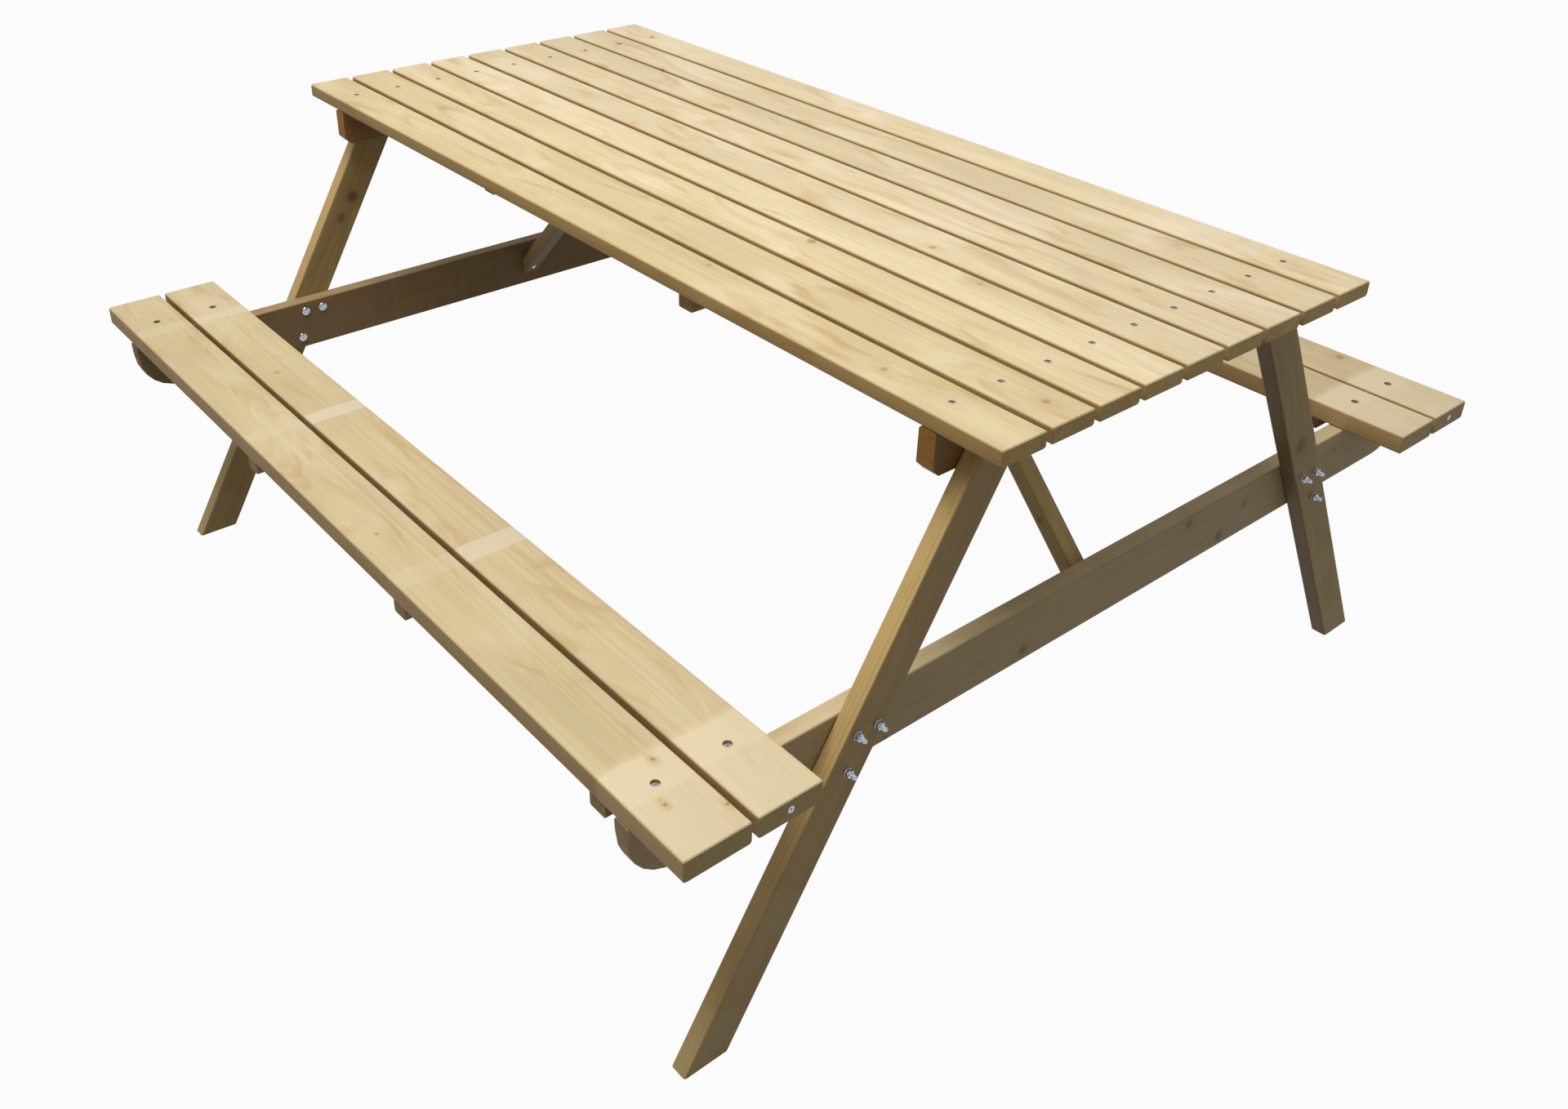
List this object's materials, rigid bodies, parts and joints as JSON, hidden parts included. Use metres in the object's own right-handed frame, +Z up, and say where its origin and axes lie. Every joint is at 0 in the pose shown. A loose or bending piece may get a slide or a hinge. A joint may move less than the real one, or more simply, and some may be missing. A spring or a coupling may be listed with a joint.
{
  "type": "picnic table",
  "caption": "Rectangular timber picnic table with a slatted top, fixed slatted bench seats along both long sides and splayed bolted legs braced to the top.",
  "frame": {"origin": "on the ground under the middle of the top", "axes": "+Z up, X along the slats, Y across the table from the front seat (-Y) to the rear seat (+Y)"},
  "size_m": [1.6, 1.52, 0.75],
  "materials": {
    "top_slats": "planed, pressure-treated pine",
    "seat_slats": "planed, pressure-treated pine",
    "frame_timber": "planed, pressure-treated pine",
    "battens_braces": "planed, pressure-treated pine",
    "zinc_fasteners": "bright zinc plate"
  },
  "bodies": {
    "root": {"top_slat_1": "top_slats", "top_slat_2": "top_slats", "top_slat_3": "top_slats", "top_slat_4": "top_slats", "top_slat_5": "top_slats", "top_slat_6": "top_slats", "top_slat_7": "top_slats", "top_slat_8": "top_slats", "top_slat_9": "top_slats", "seat_slat_front_outer": "seat_slats", "seat_slat_front_inner": "seat_slats", "seat_slat_rear_inner": "seat_slats", "seat_slat_rear_outer": "seat_slats", "leg_front_left": "frame_timber", "leg_front_right": "frame_timber", "leg_rear_left": "frame_timber", "leg_rear_right": "frame_timber", "seat_bearer_left": "frame_timber", "seat_bearer_right": "frame_timber", "top_batten_end_left": "frame_timber", "top_batten_end_right": "frame_timber", "top_batten_mid_left": "battens_braces", "top_batten_mid_right": "battens_braces", "seat_batten_front_left_end": "battens_braces", "seat_batten_front_left_mid": "battens_braces", "seat_batten_front_right_mid": "battens_braces", "seat_batten_front_right_end": "battens_braces", "seat_batten_rear_left_end": "battens_braces", "seat_batten_rear_left_mid": "battens_braces", "seat_batten_rear_right_mid": "battens_braces", "seat_batten_rear_right_end": "battens_braces", "brace_left": "battens_braces", "brace_right": "battens_braces", "bearer_bolt_front_left_1": "zinc_fasteners", "bearer_bolt_front_left_2": "zinc_fasteners", "bearer_bolt_front_left_3": "zinc_fasteners", "bearer_bolt_front_right_1": "zinc_fasteners", "bearer_bolt_front_right_2": "zinc_fasteners", "bearer_bolt_front_right_3": "zinc_fasteners", "bearer_bolt_rear_left_1": "zinc_fasteners", "bearer_bolt_rear_left_2": "zinc_fasteners", "bearer_bolt_rear_left_3": "zinc_fasteners", "bearer_bolt_rear_right_1": "zinc_fasteners", "bearer_bolt_rear_right_2": "zinc_fasteners", "bearer_bolt_rear_right_3": "zinc_fasteners", "top_bolt_front_left_1": "zinc_fasteners", "top_bolt_front_left_2": "zinc_fasteners", "top_bolt_front_right_1": "zinc_fasteners", "top_bolt_front_right_2": "zinc_fasteners", "top_bolt_rear_left_1": "zinc_fasteners", "top_bolt_rear_left_2": "zinc_fasteners", "top_bolt_rear_right_1": "zinc_fasteners", "top_bolt_rear_right_2": "zinc_fasteners", "brace_screw_foot_left": "zinc_fasteners", "brace_screw_foot_right": "zinc_fasteners", "brace_screw_head_left": "zinc_fasteners", "brace_screw_head_right": "zinc_fasteners", "end_screw_front": "zinc_fasteners", "end_screw_rear": "zinc_fasteners"}
  },
  "joints": []
}
